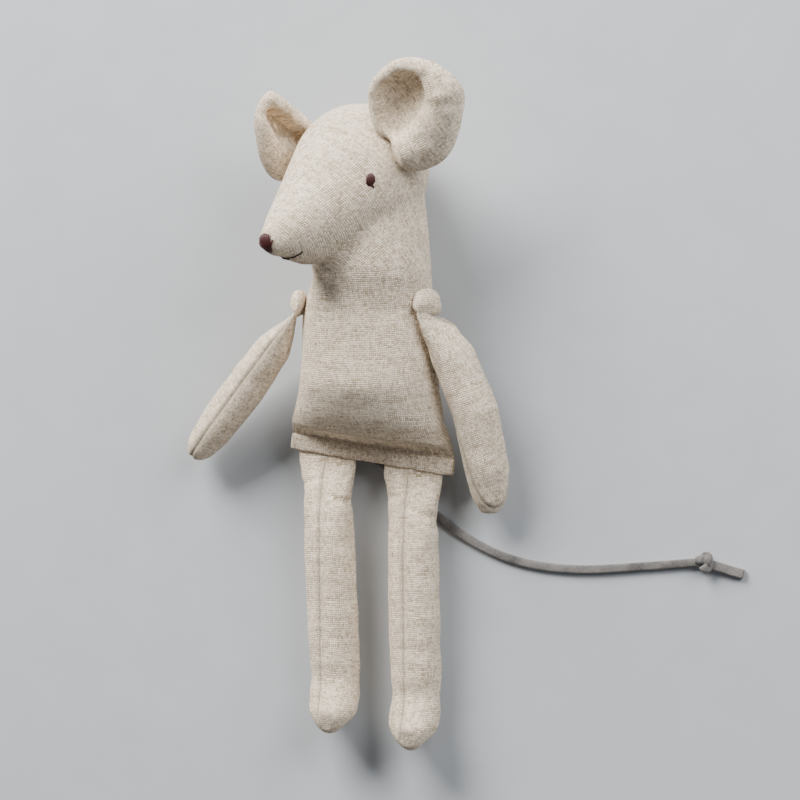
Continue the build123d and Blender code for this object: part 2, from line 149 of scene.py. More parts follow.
def woven_threads(tree, uv):
    """The threads of a plain weave over a map in millimetres: how light each is, with painted shade between the
    crowns, and how high it stands.
    """
    threads = add(tree, "ShaderNodeVectorMath", {"operation": "SCALE"}, i0=uv,
                  Scale=1 / THREAD_PITCH).outputs[0]
    cell = add(tree, "ShaderNodeVectorMath", {"operation": "FLOOR"}, i0=threads).outputs[0]
    across = add(tree, "ShaderNodeSeparateXYZ", {}, Vector=threads)
    number = add(tree, "ShaderNodeSeparateXYZ", {}, Vector=cell)
    warp = maths(tree, "SINE", maths(tree, "MULTIPLY", across.outputs[0], math.pi))
    weft = maths(tree, "SINE", maths(tree, "MULTIPLY", across.outputs[1], math.pi))
    crossing = maths(tree, "MULTIPLY", warp, weft)
    over = maths(tree, "GREATER_THAN", crossing, 0.0)
    crown = maths(tree, "POWER", maths(tree, "ABSOLUTE", crossing), 0.7)

    def yarn_tone(number_of, travel, seed):
        """Each yarn's own tone, which changes every six crossings or so along it."""
        place = add(tree, "ShaderNodeCombineXYZ", {}, X=maths(tree, "MULTIPLY", number_of, 3.71),
                    Y=maths(tree, "MULTIPLY", travel, 0.16), Z=seed).outputs[0]
        return add(tree, "ShaderNodeTexNoise", {}, Vector=place, Scale=1.0, Detail=3.0).outputs[0]

    warp_tone = yarn_tone(number.outputs[0], across.outputs[1], 2.0)
    weft_tone = yarn_tone(number.outputs[1], across.outputs[0], 9.0)
    yarn = add(tree, "ShaderNodeMix", {"data_type": "FLOAT"}, i0=over, i2=weft_tone, i3=warp_tone).outputs[0]
    grain = add(tree, "ShaderNodeTexWhiteNoise", {"noise_dimensions": "2D"}, Vector=cell).outputs[0]
    shade = maths(tree, "MULTIPLY_ADD", grain, 0.34, maths(tree, "MULTIPLY", yarn, 0.95))
    # Painted shade: each thread's crown is painted lighter and the dips between the threads darker
    shade = maths(tree, "MULTIPLY_ADD", crown, 0.32, shade)
    height = maths(tree, "MULTIPLY_ADD", yarn, 0.9, maths(tree, "MULTIPLY_ADD", grain, 0.35, crown))
    return shade, height


def stretched_noise(tree, uv, along, across, detail):
    """Noise over the cloth, drawn out along its threads; along and across are features per millimetre."""
    place = add(tree, "ShaderNodeVectorMath", {"operation": "MULTIPLY"}, i0=uv,
                i1=(along, across, 1.0)).outputs[0]
    return add(tree, "ShaderNodeTexNoise", {}, Vector=place, Scale=1.0, Detail=detail).outputs[0]


def linen(name, light, dark, fleck):
    """Undyed linen in plain weave: each thread spun unevenly and in its own tone, with slubs and bark flecks."""
    material, tree = new_material(name)
    uv = add(tree, "ShaderNodeUVMap", {"uv_map": "weave"}).outputs["UV"]
    # The threads wander by up to a millimetre or so over 6 mm
    drift = add(tree, "ShaderNodeTexNoise", {}, Vector=uv, Scale=0.16, Detail=2.0).outputs[1]
    drift = add(tree, "ShaderNodeVectorMath", {"operation": "SCALE"}, i0=drift, Scale=1.6).outputs[0]
    uv = add(tree, "ShaderNodeVectorMath", {"operation": "ADD"}, i0=uv, i1=drift).outputs[0]
    shade, height = woven_threads(tree, uv)
    # Slubs about 11 mm long and 0.9 mm wide
    shade = maths(tree, "MULTIPLY_ADD", stretched_noise(tree, uv, 0.09, 1.15, 3.0), 0.5, shade)
    shade = add(tree, "ShaderNodeMapRange", {}, Value=shade, i1=0.66, i2=1.3).outputs[0]
    colour = add(tree, "ShaderNodeMix", {"data_type": "RGBA"}, i0=shade, i6=linear(dark),
                 i7=linear(light)).outputs[2]
    # Bark flecks about 2 mm long and 0.7 mm wide
    specks = add(tree, "ShaderNodeMapRange", {}, Value=stretched_noise(tree, uv, 0.5, 1.4, 1.0),
                 i1=0.705, i2=0.78, i3=0.0, i4=0.6).outputs[0]
    colour = add(tree, "ShaderNodeMix", {"data_type": "RGBA"}, i0=specks, i6=colour,
                 i7=linear(fleck)).outputs[2]
    # Paler and darker patches about 11 mm across, and painted shade along the seams
    mottle_and_seam_shade = add(tree, "ShaderNodeTexNoise", {}, Vector=uv, Scale=0.09, Detail=3.0).outputs[0]
    mottle_and_seam_shade = add(tree, "ShaderNodeMapRange", {}, Value=mottle_and_seam_shade, i1=0.3, i2=0.7, i3=0.9, i4=1.06).outputs[0]
    # Painted shade: the cloth is darkened along the seam lines that draw_in_seam marks
    seam = add(tree, "ShaderNodeAttribute", {"attribute_name": "seam"}).outputs["Fac"]
    mottle_and_seam_shade = maths(tree, "MULTIPLY", mottle_and_seam_shade, maths(tree, "MULTIPLY_ADD", seam, -0.38, 1.0))
    colour = add(tree, "ShaderNodeVectorMath", {"operation": "SCALE"}, i0=colour, Scale=mottle_and_seam_shade).outputs[0]
    bump = add(tree, "ShaderNodeBump", {}, Strength=0.75, Distance=0.2 * MM, Height=height).outputs[0]
    shader = add(tree, "ShaderNodeBsdfPrincipled", {}, Base_Color=colour, Roughness=0.92, Normal=bump,
                 Sheen_Weight=0.12, Sheen_Roughness=0.6, Sheen_Tint=linear("#FFF8EC"), Specular_IOR_Level=0.2)
    add(tree, "ShaderNodeOutputMaterial", {}, Surface=shader.outputs[0])
    return material


def cotton_thread(name, colour, shine):
    """Stranded cotton: a smooth, softly shining thread whose fibres, 0.24 mm long, show as a fine twist."""
    material, tree = new_material(name)
    place = add(tree, "ShaderNodeTexCoord").outputs["Object"]
    fibres = add(tree, "ShaderNodeTexNoise", {}, Vector=place, Scale=4200.0, Detail=3.0).outputs[0]
    tone = add(tree, "ShaderNodeMapRange", {}, Value=fibres, i1=0.3, i2=0.7, i3=0.7, i4=1.5).outputs[0]
    shade = add(tree, "ShaderNodeVectorMath", {"operation": "SCALE"}, i0=linear(colour)[:3],
                Scale=tone).outputs[0]
    bump = add(tree, "ShaderNodeBump", {}, Strength=0.6, Distance=0.06 * MM, Height=fibres).outputs[0]
    shader = add(tree, "ShaderNodeBsdfPrincipled", {}, Base_Color=shade, Roughness=1.0 - shine, Normal=bump)
    add(tree, "ShaderNodeOutputMaterial", {}, Surface=shader.outputs[0])
    return material


def suede(name, colour, worn):
    """Grey suede lace, split from the hide: a matt nap, 0.4 mm long, and paler rubbed patches about 6 mm long."""
    material, tree = new_material(name)
    place = add(tree, "ShaderNodeTexCoord").outputs["Object"]
    nap = add(tree, "ShaderNodeTexNoise", {}, Vector=place, Scale=2600.0, Detail=5.0).outputs[0]
    rub = add(tree, "ShaderNodeTexNoise", {}, Vector=place, Scale=160.0, Detail=3.0).outputs[0]
    mix = maths(tree, "MULTIPLY_ADD", nap, 0.6, maths(tree, "MULTIPLY", rub, 0.6))
    mix = add(tree, "ShaderNodeMapRange", {}, Value=mix, i1=0.42, i2=0.8).outputs[0]
    shade = add(tree, "ShaderNodeMix", {"data_type": "RGBA"}, i0=mix, i6=linear(colour),
                i7=linear(worn)).outputs[2]
    bump = add(tree, "ShaderNodeBump", {}, Strength=0.7, Distance=0.1 * MM, Height=nap).outputs[0]
    shader = add(tree, "ShaderNodeBsdfPrincipled", {}, Base_Color=shade, Roughness=0.85, Normal=bump,
                 Sheen_Weight=0.35)
    add(tree, "ShaderNodeOutputMaterial", {}, Surface=shader.outputs[0])
    return material


LINEN = linen("undyed_plain_weave_linen", "#FFEFD8", "#A58D6E", "#6A5442")
BROWN_THREAD = cotton_thread("dark_brown_embroidery_thread", "#3C1513", 0.5)
BLACK_THREAD = cotton_thread("black_brown_embroidery_thread", "#241614", 0.5)
LINEN_THREAD = cotton_thread("undyed_sewing_thread", "#CFC3B2", 0.3)
SUEDE = suede("grey_suede_lace", "#4C4947", "#8A8682")


# Mesh tools


def points_of(thing):
    co = np.empty(len(thing.data.vertices) * 3)
    thing.data.vertices.foreach_get("co", co)
    return co.reshape(-1, 3)


def normals_of(thing):
    out = np.empty(len(thing.data.vertices) * 3)
    thing.data.vertices.foreach_get("normal", out)
    return out.reshape(-1, 3)


def set_points(thing, co):
    thing.data.vertices.foreach_set("co", np.ascontiguousarray(co).ravel())
    thing.data.update()


def new_piece(name, vertices, faces):
    mesh = bpy.data.meshes.new(name)
    mesh.from_pydata([tuple(v) for v in vertices], [], [tuple(f) for f in faces])
    mesh.validate()
    thing = bpy.data.objects.new(name, mesh)
    bpy.context.collection.objects.link(thing)
    outward(thing)
    return thing


def ring_faces(rings, around, base=0):
    """Four-sided faces between rings of points, each ring closed on itself."""
    faces = []
    for ring in range(rings):
        for n in range(around):
            a, b = base + ring * around + n, base + ring * around + (n + 1) % around
            faces.append((a, b, b + around, a + around))
    return faces


def squared(value, power):
    """A sine or cosine bent so that a circle drawn with it becomes a rounded square."""
    return math.copysign(abs(value) ** power, value)


def outward(thing):
    """Join doubled points, turn every face outwards, and shade the whole mesh smooth."""
    shape = bmesh.new()
    shape.from_mesh(thing.data)
    bmesh.ops.remove_doubles(shape, verts=shape.verts, dist=1e-6)
    bmesh.ops.recalc_face_normals(shape, faces=shape.faces)
    shape.to_mesh(thing.data)
    shape.free()
    for polygon in thing.data.polygons:
        polygon.use_smooth = True


def apply_modifiers(thing):
    depsgraph = bpy.context.evaluated_depsgraph_get()
    mesh = bpy.data.meshes.new_from_object(thing.evaluated_get(depsgraph))
    thing.modifiers.clear()
    old = thing.data
    thing.data = mesh
    bpy.data.meshes.remove(old)


def bag_from(name, nodes, voxel, relax, swell=0.0):
    """One closed, even skin round the named solids, relaxed so that no section shows, and swollen by a cloth's
    depth."""
    parts = bmesh.new()
    for node in nodes:
        parts.from_mesh(frame["nodes"][node].data)
    bmesh.ops.remove_doubles(parts, verts=parts.verts, dist=1e-6)
    mesh = bpy.data.meshes.new(name)
    parts.to_mesh(mesh)
    parts.free()
    thing = bpy.data.objects.new(name, mesh)
    bpy.context.collection.objects.link(thing)
    remesh = thing.modifiers.new("even", "REMESH")
    remesh.mode = "VOXEL"
    remesh.voxel_size = voxel
    smooth = thing.modifiers.new("relax", "SMOOTH")
    smooth.factor = 0.5
    smooth.iterations = relax
    if swell:
        push = thing.modifiers.new("swell", "DISPLACE")
        push.strength = swell
        push.mid_level = 0.0
    apply_modifiers(thing)
    return thing


def blow_up(thing, held, pressure, spare, cap):
    """Fill a bag with stuffing: held vertices stay where they are sewn, the cloth has some spare, and no point
    moves further than cap."""
    start = points_of(thing)
    group = thing.vertex_groups.new(name="sewn")
    group.add([int(n) for n in np.nonzero(held)[0]], 1.0, "REPLACE")
    set_points(thing, start * SIM_SCALE)
    cloth = thing.modifiers.new("stuffing", "CLOTH")
    cloth.settings.quality = 6
    cloth.settings.mass = 0.3
    cloth.settings.tension_stiffness = 12.0
    cloth.settings.compression_stiffness = 12.0
    cloth.settings.bending_stiffness = 0.6
    cloth.settings.air_damping = 2.0
    cloth.settings.use_pressure = True
    cloth.settings.uniform_pressure_force = pressure
    cloth.settings.shrink_min = -spare
    cloth.settings.vertex_group_mass = group.name
    cloth.settings.effector_weights.gravity = 0.0
    cloth.point_cache.frame_end = SIM_FRAMES
    relax = thing.modifiers.new("relax", "SMOOTH")
    relax.factor = 0.5
    relax.iterations = 3
    for step in range(1, SIM_FRAMES + 1):
        bpy.context.scene.frame_set(step)
    settled = thing.evaluated_get(bpy.context.evaluated_depsgraph_get()).to_mesh()
    co = np.empty(len(settled.vertices) * 3)
    settled.vertices.foreach_get("co", co)
    moved = co.reshape(-1, 3) / SIM_SCALE - start
    reach = np.linalg.norm(moved, axis=1, keepdims=True)
    moved *= np.minimum(1.0, cap / np.maximum(reach, 1e-9))
    thing.modifiers.clear()
    thing.vertex_groups.clear()
    set_points(thing, start + moved)
    bpy.context.scene.frame_set(1)


def subdivide(thing, levels=1):
    finer = thing.modifiers.new("finer", "SUBSURF")
    finer.levels = levels
    finer.render_levels = levels
    apply_modifiers(thing)
    for polygon in thing.data.polygons:
        polygon.use_smooth = True


def noise_at(co, size, seed):
    """Smooth noise from -1 to 1 at each point, with features about as large as size along x, y and z."""
    scale = 1.0 / np.array(size)
    return np.array([noise.noise(Vector(p * scale) + Vector((seed, 0.0, 0.0))) for p in co])


def draw_in_seam(thing, origin, normal, depth, width, pucker=0.0, along=(0, 1, 0), reach=None, seed=0.0):
    """Pull the cloth in along the line where a plane cuts it, with small puckers at both sides of the line, and
    mark the line for painted seam shade.
    """
    co, out = points_of(thing), normals_of(thing)
    normal = np.array(Vector(normal).normalized())
    off = (co - np.array(origin)) @ normal
    line = np.exp(-(off / width) ** 2)
    along = np.array(Vector(along).normalized())
    place = co @ along
    waves = np.array([noise.noise(Vector((p / (2.6 * MM), seed, 0.0))) for p in place])
    beside = np.exp(-np.abs(off) / (2.4 * MM)) * (1 - line)
    amount = -depth * line + pucker * waves * beside
    if reach is not None:
        low, high = reach
        ends = np.clip((place - low) / (3 * MM), 0, 1) * np.clip((high - place) / (3 * MM), 0, 1)
        amount = amount * ends
        line = line * ends
    set_points(thing, co + out * amount[:, None])
    # The seam line is kept as the seam attribute, which the linen paints as shade along the seam
    shadow = thing.data.attributes.get("seam") or thing.data.attributes.new("seam", "FLOAT", "POINT")
    shadow.data.foreach_set("value", (line ** 2 * min(1.0, depth / (0.4 * MM))).astype(np.float32))


def panel_uv(thing, panels):
    """The cloth's weave map, in millimetres. Each panel is (picks, facing, up, radius, grain): a mask over
    faces, the way the panel faces, its upward direction, how round it is, and the turn of its grain in degrees."""
    mesh = thing.data
    co, out = points_of(thing), normals_of(thing)
    layer = mesh.uv_layers.get("weave") or mesh.uv_layers.new(name="weave")
    corner = np.empty(len(mesh.loops), dtype=int)
    mesh.loops.foreach_get("vertex_index", corner)
    starts = np.empty(len(mesh.polygons), dtype=int)
    totals = np.empty(len(mesh.polygons), dtype=int)
    mesh.polygons.foreach_get("loop_start", starts)
    mesh.polygons.foreach_get("loop_total", totals)
    face_of = np.repeat(np.arange(len(mesh.polygons)), totals)
    centres = np.empty(len(mesh.polygons) * 3)
    mesh.polygons.foreach_get("center", centres)
    centres = centres.reshape(-1, 3)
    uv = np.zeros((len(mesh.loops), 2))
    for number, (picks, facing, up, radius, grain) in enumerate(panels):
        facing, up = np.array(Vector(facing).normalized()), np.array(Vector(up))
        up = up - facing * (up @ facing)
        up /= np.linalg.norm(up)
        across = np.cross(up, facing)
        flat = np.stack([co @ across, co @ up], axis=1)
        lean = np.stack([out @ across, out @ up], axis=1)
        length = np.linalg.norm(lean, axis=1)
        round_by = radius(co) if callable(radius) else radius
        angle = np.arctan2(length, out @ facing)
        extra = round_by * (angle - np.sin(angle))
        flat = flat + lean / np.maximum(length, 1e-6)[:, None] * extra[:, None]
        turn = math.radians(grain)
        turned = np.stack([flat[:, 0] * math.cos(turn) - flat[:, 1] * math.sin(turn),
                           flat[:, 0] * math.sin(turn) + flat[:, 1] * math.cos(turn)], axis=1)
        mask = picks(centres)[face_of]
        uv[mask] = turned[corner[mask]] / MM + number * 37.0
    layer.data.foreach_set("uv", uv.ravel())


def keep_clear(thing, surface, gap):
    """Move the points that lie a little inside another surface, or closer than gap, back out of it."""
    co = points_of(thing)
    for n, point in enumerate(co):
        place, normal, _, away = surface.find_nearest(Vector(point))
        if away < NEAR and (Vector(point) - place).dot(normal) < gap:
            co[n] = place + normal * gap
    set_points(thing, co)


def finish_skin(thing, material, nodes):
    thing.data.materials.clear()
    thing.data.materials.append(material)
    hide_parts(*nodes)


# Threads laid on a surface, by Geometry Nodes


def thread_tree():
    """Turns a net of edges into sewn threads: each chain of edges becomes a round thread of a given radius."""
    tree = bpy.data.node_groups.new("laid_threads", "GeometryNodeTree")
    tree.interface.new_socket("Geometry", in_out="INPUT", socket_type="NodeSocketGeometry")
    tree.interface.new_socket("Thread radius", in_out="INPUT", socket_type="NodeSocketFloat")
    tree.interface.new_socket("Material", in_out="INPUT", socket_type="NodeSocketMaterial")
    tree.interface.new_socket("Geometry", in_out="OUTPUT", socket_type="NodeSocketGeometry")
    given = tree.nodes.new("NodeGroupInput")
    line = add(tree, "GeometryNodeMeshToCurve", {}, Mesh=given.outputs[0])
    rounded = add(tree, "GeometryNodeCurvePrimitiveCircle", {}, Resolution=7)
    tree.links.new(given.outputs[1], rounded.inputs["Radius"])
    sewn = add(tree, "GeometryNodeCurveToMesh", {}, Curve=line.outputs[0], Profile_Curve=rounded.outputs[0],
               Fill_Caps=True)
    real = add(tree, "GeometryNodeRealizeInstances", {}, Geometry=sewn.outputs[0])
    dyed = add(tree, "GeometryNodeSetMaterial", {}, Geometry=real.outputs[0])
    tree.links.new(given.outputs[2], dyed.inputs["Material"])
    result = tree.nodes.new("NodeGroupOutput")
    tree.links.new(dyed.outputs[0], result.inputs[0])
    return tree


THREADS = thread_tree()


def lay_threads(name, chains, radius, material):
    """Round threads along chains of points, as one plain mesh."""
    vertices, edges = [], []
    for chain in chains:
        edges += [(len(vertices) + n, len(vertices) + n + 1) for n in range(len(chain) - 1)]
        vertices += [tuple(p) for p in chain]
    mesh = bpy.data.meshes.new(name)
    mesh.from_pydata(vertices, edges, [])
    thing = bpy.data.objects.new(name, mesh)
    bpy.context.collection.objects.link(thing)
    modifier = thing.modifiers.new("threads", "NODES")
    modifier.node_group = THREADS
    keys = {item.name: item.identifier for item in THREADS.interface.items_tree if item.in_out == "INPUT"}
    modifier[keys["Thread radius"]] = radius
    modifier[keys["Material"]] = material
    apply_modifiers(thing)
    for polygon in thing.data.polygons:
        polygon.use_smooth = True
    return thing


def surface_of(thing):
    depsgraph = bpy.context.evaluated_depsgraph_get()
    return BVHTree.FromObject(thing, depsgraph)


def laid_chain(surface, start, end, lift, steps=7):
    """A thread from start to end over a surface: it leaves the cloth, arches over it, and goes back in."""
    chain = []
    for n in range(steps):
        share = n / (steps - 1)
        place, normal, _, _ = surface.find_nearest(start.lerp(end, share))
        arch = math.sin(math.pi * share) ** 0.5 if 0 < share < 1 else -0.6
        chain.append(place + normal * lift * arch)
    return chain


# Body: torso and head in one skin, which twists at the neck


def head_ways():
    """The head's own directions, from its nose: forward, left, and its middle."""
    low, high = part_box("nose")
    nose = (low + high) / 2
    axis = joint_place("neck_turn")
    forward = nose - axis
    forward.y = 0.0
    forward.normalize()
    left = Vector((forward.z, 0.0, -forward.x))
    return axis, forward, left, nose


NECK_AXIS, FORWARD, HEAD_LEFT, NOSE = head_ways()
NECK_Y = NECK_AXIS.y
UP = Vector((0.0, 1.0, 0.0))
HIP = joint_place("left_hip")
HEM_ALONG = joint_axis("left_hip") * -1
HEM_MIDDLE = HIP + HEM_ALONG * ((HEM_CENTRE_X - HIP.x) / HEM_ALONG.x)
HEM_OUT = HEM_ALONG.cross(NECK_AXIS - Vector((NECK_AXIS.x, HEM_MIDDLE.y, HEM_MIDDLE.z))).normalized()
HEM_RISE = HEM_OUT.cross(HEM_ALONG)


def hem_height(co):
    """How far each point is above the hem's lower edge."""
    return (co - np.array(HEM_MIDDLE)) @ np.array(HEM_RISE)


def bulge(co, centre, radius, push):
    """Push the points near a centre along a direction, fading out over a radius."""
    away = np.linalg.norm(co - np.array(centre), axis=1) / radius
    return co + np.exp(-away ** 2)[:, None] * np.array(push)


def pushed_by_stuffing(co):
    """The jaw pushed forward and down, the throat drawn back, and the shoulders and the belly filled out."""
    co = bulge(co, NECK_AXIS + (FORWARD * 23 + UP * 6) * MM, 11 * MM, (FORWARD * 3.0 - UP * 5.5) * MM)
    co = bulge(co, NECK_AXIS + (FORWARD * 18 - UP * 4) * MM, 10 * MM, FORWARD * -3.8 * MM)
    for side_name in ("left", "right"):
        shoulder = joint_place(f"{side_name}_arm_swing")
        sign = 1 if shoulder.x > NECK_AXIS.x else -1
        co = bulge(co, shoulder, 9 * MM, (sign * 1.1 * MM, 0, 0))
    return bulge(co, NECK_AXIS + Vector((0, -38, 13)) * MM, 22 * MM, (0, -0.8 * MM, 1.8 * MM))


def pressed_at_hem(co):
    """The torso's cloth drawn down to the hem, widened, pressed flat, and ended inside the strip's ends."""
    low = hem_height(co)
    co -= np.array(HEM_RISE) * (2.6 * MM * np.clip(1 - (low - 7.0 * MM) / (8 * MM), 0, 1) ** 2)[:, None]
    low = hem_height(co)
    widen = np.clip(1 - (low - 4.6 * MM) / (15 * MM), 0, 1) ** 2
    co[:, 0] += (co[:, 0] - HEM_MIDDLE.x) * 0.115 * widen
    press = np.clip(1 - (low - 6.0 * MM) / (4.5 * MM), 0, 1) ** 1.2
    depth = (co - np.array(HEM_MIDDLE)) @ np.array(HEM_OUT)
    co -= np.array(HEM_OUT) * (depth * 0.9 * press)[:, None]
    aside = (co - np.array(HEM_MIDDLE)) @ np.array(HEM_ALONG)
    past = aside - np.clip(aside, -TORSO_HALF_WIDTH, TORSO_HALF_WIDTH)
    co -= np.array(HEM_ALONG) * (past * (low < 14 * MM))[:, None]
    co[:, 2] = np.maximum(co[:, 2], FLOOR_GAP)
    return co


def head_round(points):
    """How round the head is: less and less from the skull to the nose."""
    toward = np.clip((points - np.array(NECK_AXIS)) @ np.array(FORWARD) / (40 * MM), 0, 1)
    return (22.0 - 15.0 * toward) * MM


def body_skin():
    skin = bag_from("body_skin", ["torso_stuffing", "head_stuffing"], BODY_VOXEL, 10, CLOTH)
    co = pushed_by_stuffing(points_of(skin))
    set_points(skin, co)
    floor = co[:, 2] < 0.9 * MM
    mouth = co[:, 1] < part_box("torso_stuffing")[0].y + 3.0 * MM
    nose_tip = np.linalg.norm(co - np.array(NOSE), axis=1) < 4.5 * MM
    blow_up(skin, floor | mouth | nose_tip, 2.0, 0.01, 1.2 * MM)
    subdivide(skin)
    co, out = points_of(skin), normals_of(skin)
    folds = 0.16 * MM * noise_at(co, (14 * MM, 8 * MM, 14 * MM), 3.0)
    set_points(skin, pressed_at_hem(co + out * folds[:, None]))
    draw_in_seam(skin, NECK_AXIS, UP, 0.12 * MM, 0.7 * MM)
    neck, hip, axis = NECK_Y, np.array(HIP), np.array(NECK_AXIS)
    out_way, middle = np.array(HEM_OUT), np.array(HEAD_LEFT)
    panel_uv(skin, [
        (lambda c: (c[:, 1] < neck) & ((c - hip) @ out_way >= 0), HEM_OUT, UP, 18 * MM, 0.0),
        (lambda c: (c[:, 1] < neck) & ((c - hip) @ out_way < 0), HEM_OUT * -1, UP, 18 * MM, 0.0),
        (lambda c: (c[:, 1] >= neck) & ((c - axis) @ middle >= 0), HEAD_LEFT, UP, head_round, 50.0),
        (lambda c: (c[:, 1] >= neck) & ((c - axis) @ middle < 0), HEAD_LEFT * -1, UP, head_round, -50.0),
    ])
    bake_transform(skin)
    finish_skin(skin, LINEN, ["torso_front_panel", "torso_back_panel", "torso_stuffing",
                                       "head_left_panel", "head_right_panel", "head_stuffing"])
    return skin


def hem_section():
    """Round the strip's section, as heights above its edge and shares of its thickness."""
    top, bottom = HEM_TOP, HEM_BOTTOM
    front = [(top, 0.75), (0.85 * top, 1.15), (0.35 * top, 1.15), (bottom, 0.95), (bottom - 0.5 * MM, 0.62),
             (bottom - 0.25 * MM, 0.12)]
    return front + [(height, -side) for height, side in reversed(front)]


def hem():
    """The flat strip below the belly: two turned edges pressed together, a bit wavy, and lifted by the legs."""
    columns, section = 120, hem_section()
    legs = [joint_place(f"{side_name}_hip").x for side_name in ("left", "right")]
    vertices = []
    for n in range(columns + 1):
        share = 2 * n / columns - 1
        end = min(1.0, (1 - abs(share)) * HEM_HALF_WIDTH / (1.0 * MM))
        thick = 0.95 * MM * (0.35 + 0.65 * math.sin(end * math.pi / 2))
        place = HEM_MIDDLE.x + share * HEM_HALF_WIDTH
        lifted = sum(1 / (1 + (abs(place - x) / (9.6 * MM)) ** 8) for x in legs)
        wave = 0.4 * MM * noise.noise(Vector((share * 5.0, 2.0, 0.0)))
        drop = 0.35 * MM * noise.noise(Vector((share * 9.0, 7.0, 0.0)))
        for height, side in section:
            low = min(1.0, max(0.0, 1 - height / HEM_TOP))
            depth = side * (thick + 1.1 * MM * lifted * low) + wave * low
            vertices.append(HEM_MIDDLE + HEM_ALONG * (share * HEM_HALF_WIDTH)
                            + HEM_RISE * (height + drop * low) + HEM_OUT * depth)
    ring = len(section)
    faces = ring_faces(columns, ring)
    faces.append(tuple(range(ring)))
    faces.append(tuple(columns * ring + k for k in range(ring - 1, -1, -1)))
    strip = new_piece("hem", vertices, faces)
    subdivide(strip)
    panel_uv(strip, [(lambda c: np.ones(len(c), bool), HEM_OUT, HEM_RISE, 1 * MM, 0.0)])
    strip.data.materials.append(LINEN)
    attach(strip, "torso")


# Limbs


def leg_relief(co, out, hip, seed):
    """How far a leg's cloth stands out: fine folds, a crease and a fold below the hem, and a slim ankle."""
    folds = 0.3 * MM * noise_at(co, (16 * MM, 5 * MM, 16 * MM), seed)
    down = hip.y - co[:, 1]
    aside = (co[:, 0] - hip.x) / (9 * MM)
    crease = np.exp(-((down - 13 * MM - aside * 3 * MM) / (1.3 * MM)) ** 2) * np.clip(aside + 0.3, 0, 1)
    fold = np.exp(-((down - 8 * MM + aside * 2 * MM) / (1.0 * MM)) ** 2) * np.clip(0.4 - aside, 0, 1)
    ankle = np.exp(-((co[:, 1] - co[:, 1].min() - 17 * MM) / (4 * MM)) ** 2)
    front = out[:, 2] > 0
    return folds - (0.9 * crease + 0.5 * fold) * MM * front - 0.5 * MM * ankle


def tucked_under_hem(co):
    """The open end of a leg drawn up between the hem's two edges, and pressed flat there."""
    height = hem_height(co)
    inside = np.clip(1 - (-height) / (3.2 * MM), 0, 1) ** 2
    co += np.array(HEM_RISE) * (3.0 * MM * inside)[:, None]
    sheet = (co - np.array(HEM_MIDDLE)) @ np.array(HEM_OUT)
    thin = np.clip(1 - (-height) / (4.2 * MM), 0, 1)
    co -= np.array(HEM_OUT) * (sheet * 0.5 * thin)[:, None]
    co[:, 2] = np.maximum(co[:, 2], FLOOR_GAP)
    return co


def leg(side_name):
    """A leg, wide where it is sewn in and narrow at the toe, with a seam down its front."""
    nodes = [f"{side_name}_leg_{part}" for part in ("outer_panel", "inner_panel", "stuffing")]
    hip = joint_place(f"{side_name}_hip")
    skin = bag_from(f"{side_name}_leg_skin", nodes, LIMB_VOXEL, 5)
    co = points_of(skin)
    top = co[:, 1] > hip.y - 6 * MM
    blow_up(skin, top | (co[:, 2] < 1.2 * MM), 2.0, 0.012, 0.9 * MM)
    subdivide(skin)
    co, out = points_of(skin), normals_of(skin)
    seed = 16.0 if side_name == "left" else 6.0
    down = hip.y - co[:, 1]
    co = tucked_under_hem(co + out * leg_relief(co, out, hip, seed)[:, None])
    box_low, box_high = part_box(nodes[2])
    foot_x = (box_low.x + box_high.x) / 2
    spread = np.clip(1 - down / (14 * MM), 0, 1) * np.clip(1 + down / (3 * MM), 0, 1)
    co[:, 0] += (co[:, 0] - hip.x) * 0.14 * spread
    toe = np.clip(1 - (co[:, 1] - co[:, 1].min()) / (8 * MM), 0, 1) ** 1.5
    co[:, 0] -= (co[:, 0] - foot_x) * 0.3 * toe
    set_points(skin, co)
    centre = Vector((foot_x - 1.6 * MM, hip.y, hip.z))
    line = Vector((HEM_ALONG.x, 0, 0)).normalized()
    draw_in_seam(skin, centre, line, 0.45 * MM, 0.5 * MM, 0.2 * MM, (0, 1, 0),
                 (box_low.y + 2 * MM, hip.y - 1 * MM), seed)
    panel_uv(skin, [
        (lambda c: c[:, 0] >= foot_x, (1.0, 0.0, 0.35), UP, 9 * MM, 2.0),
        (lambda c: c[:, 0] < foot_x, (-1.0, 0.0, 0.35), UP, 9 * MM, -2.0),
    ])
    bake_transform(skin)
    finish_skin(skin, LINEN, nodes)


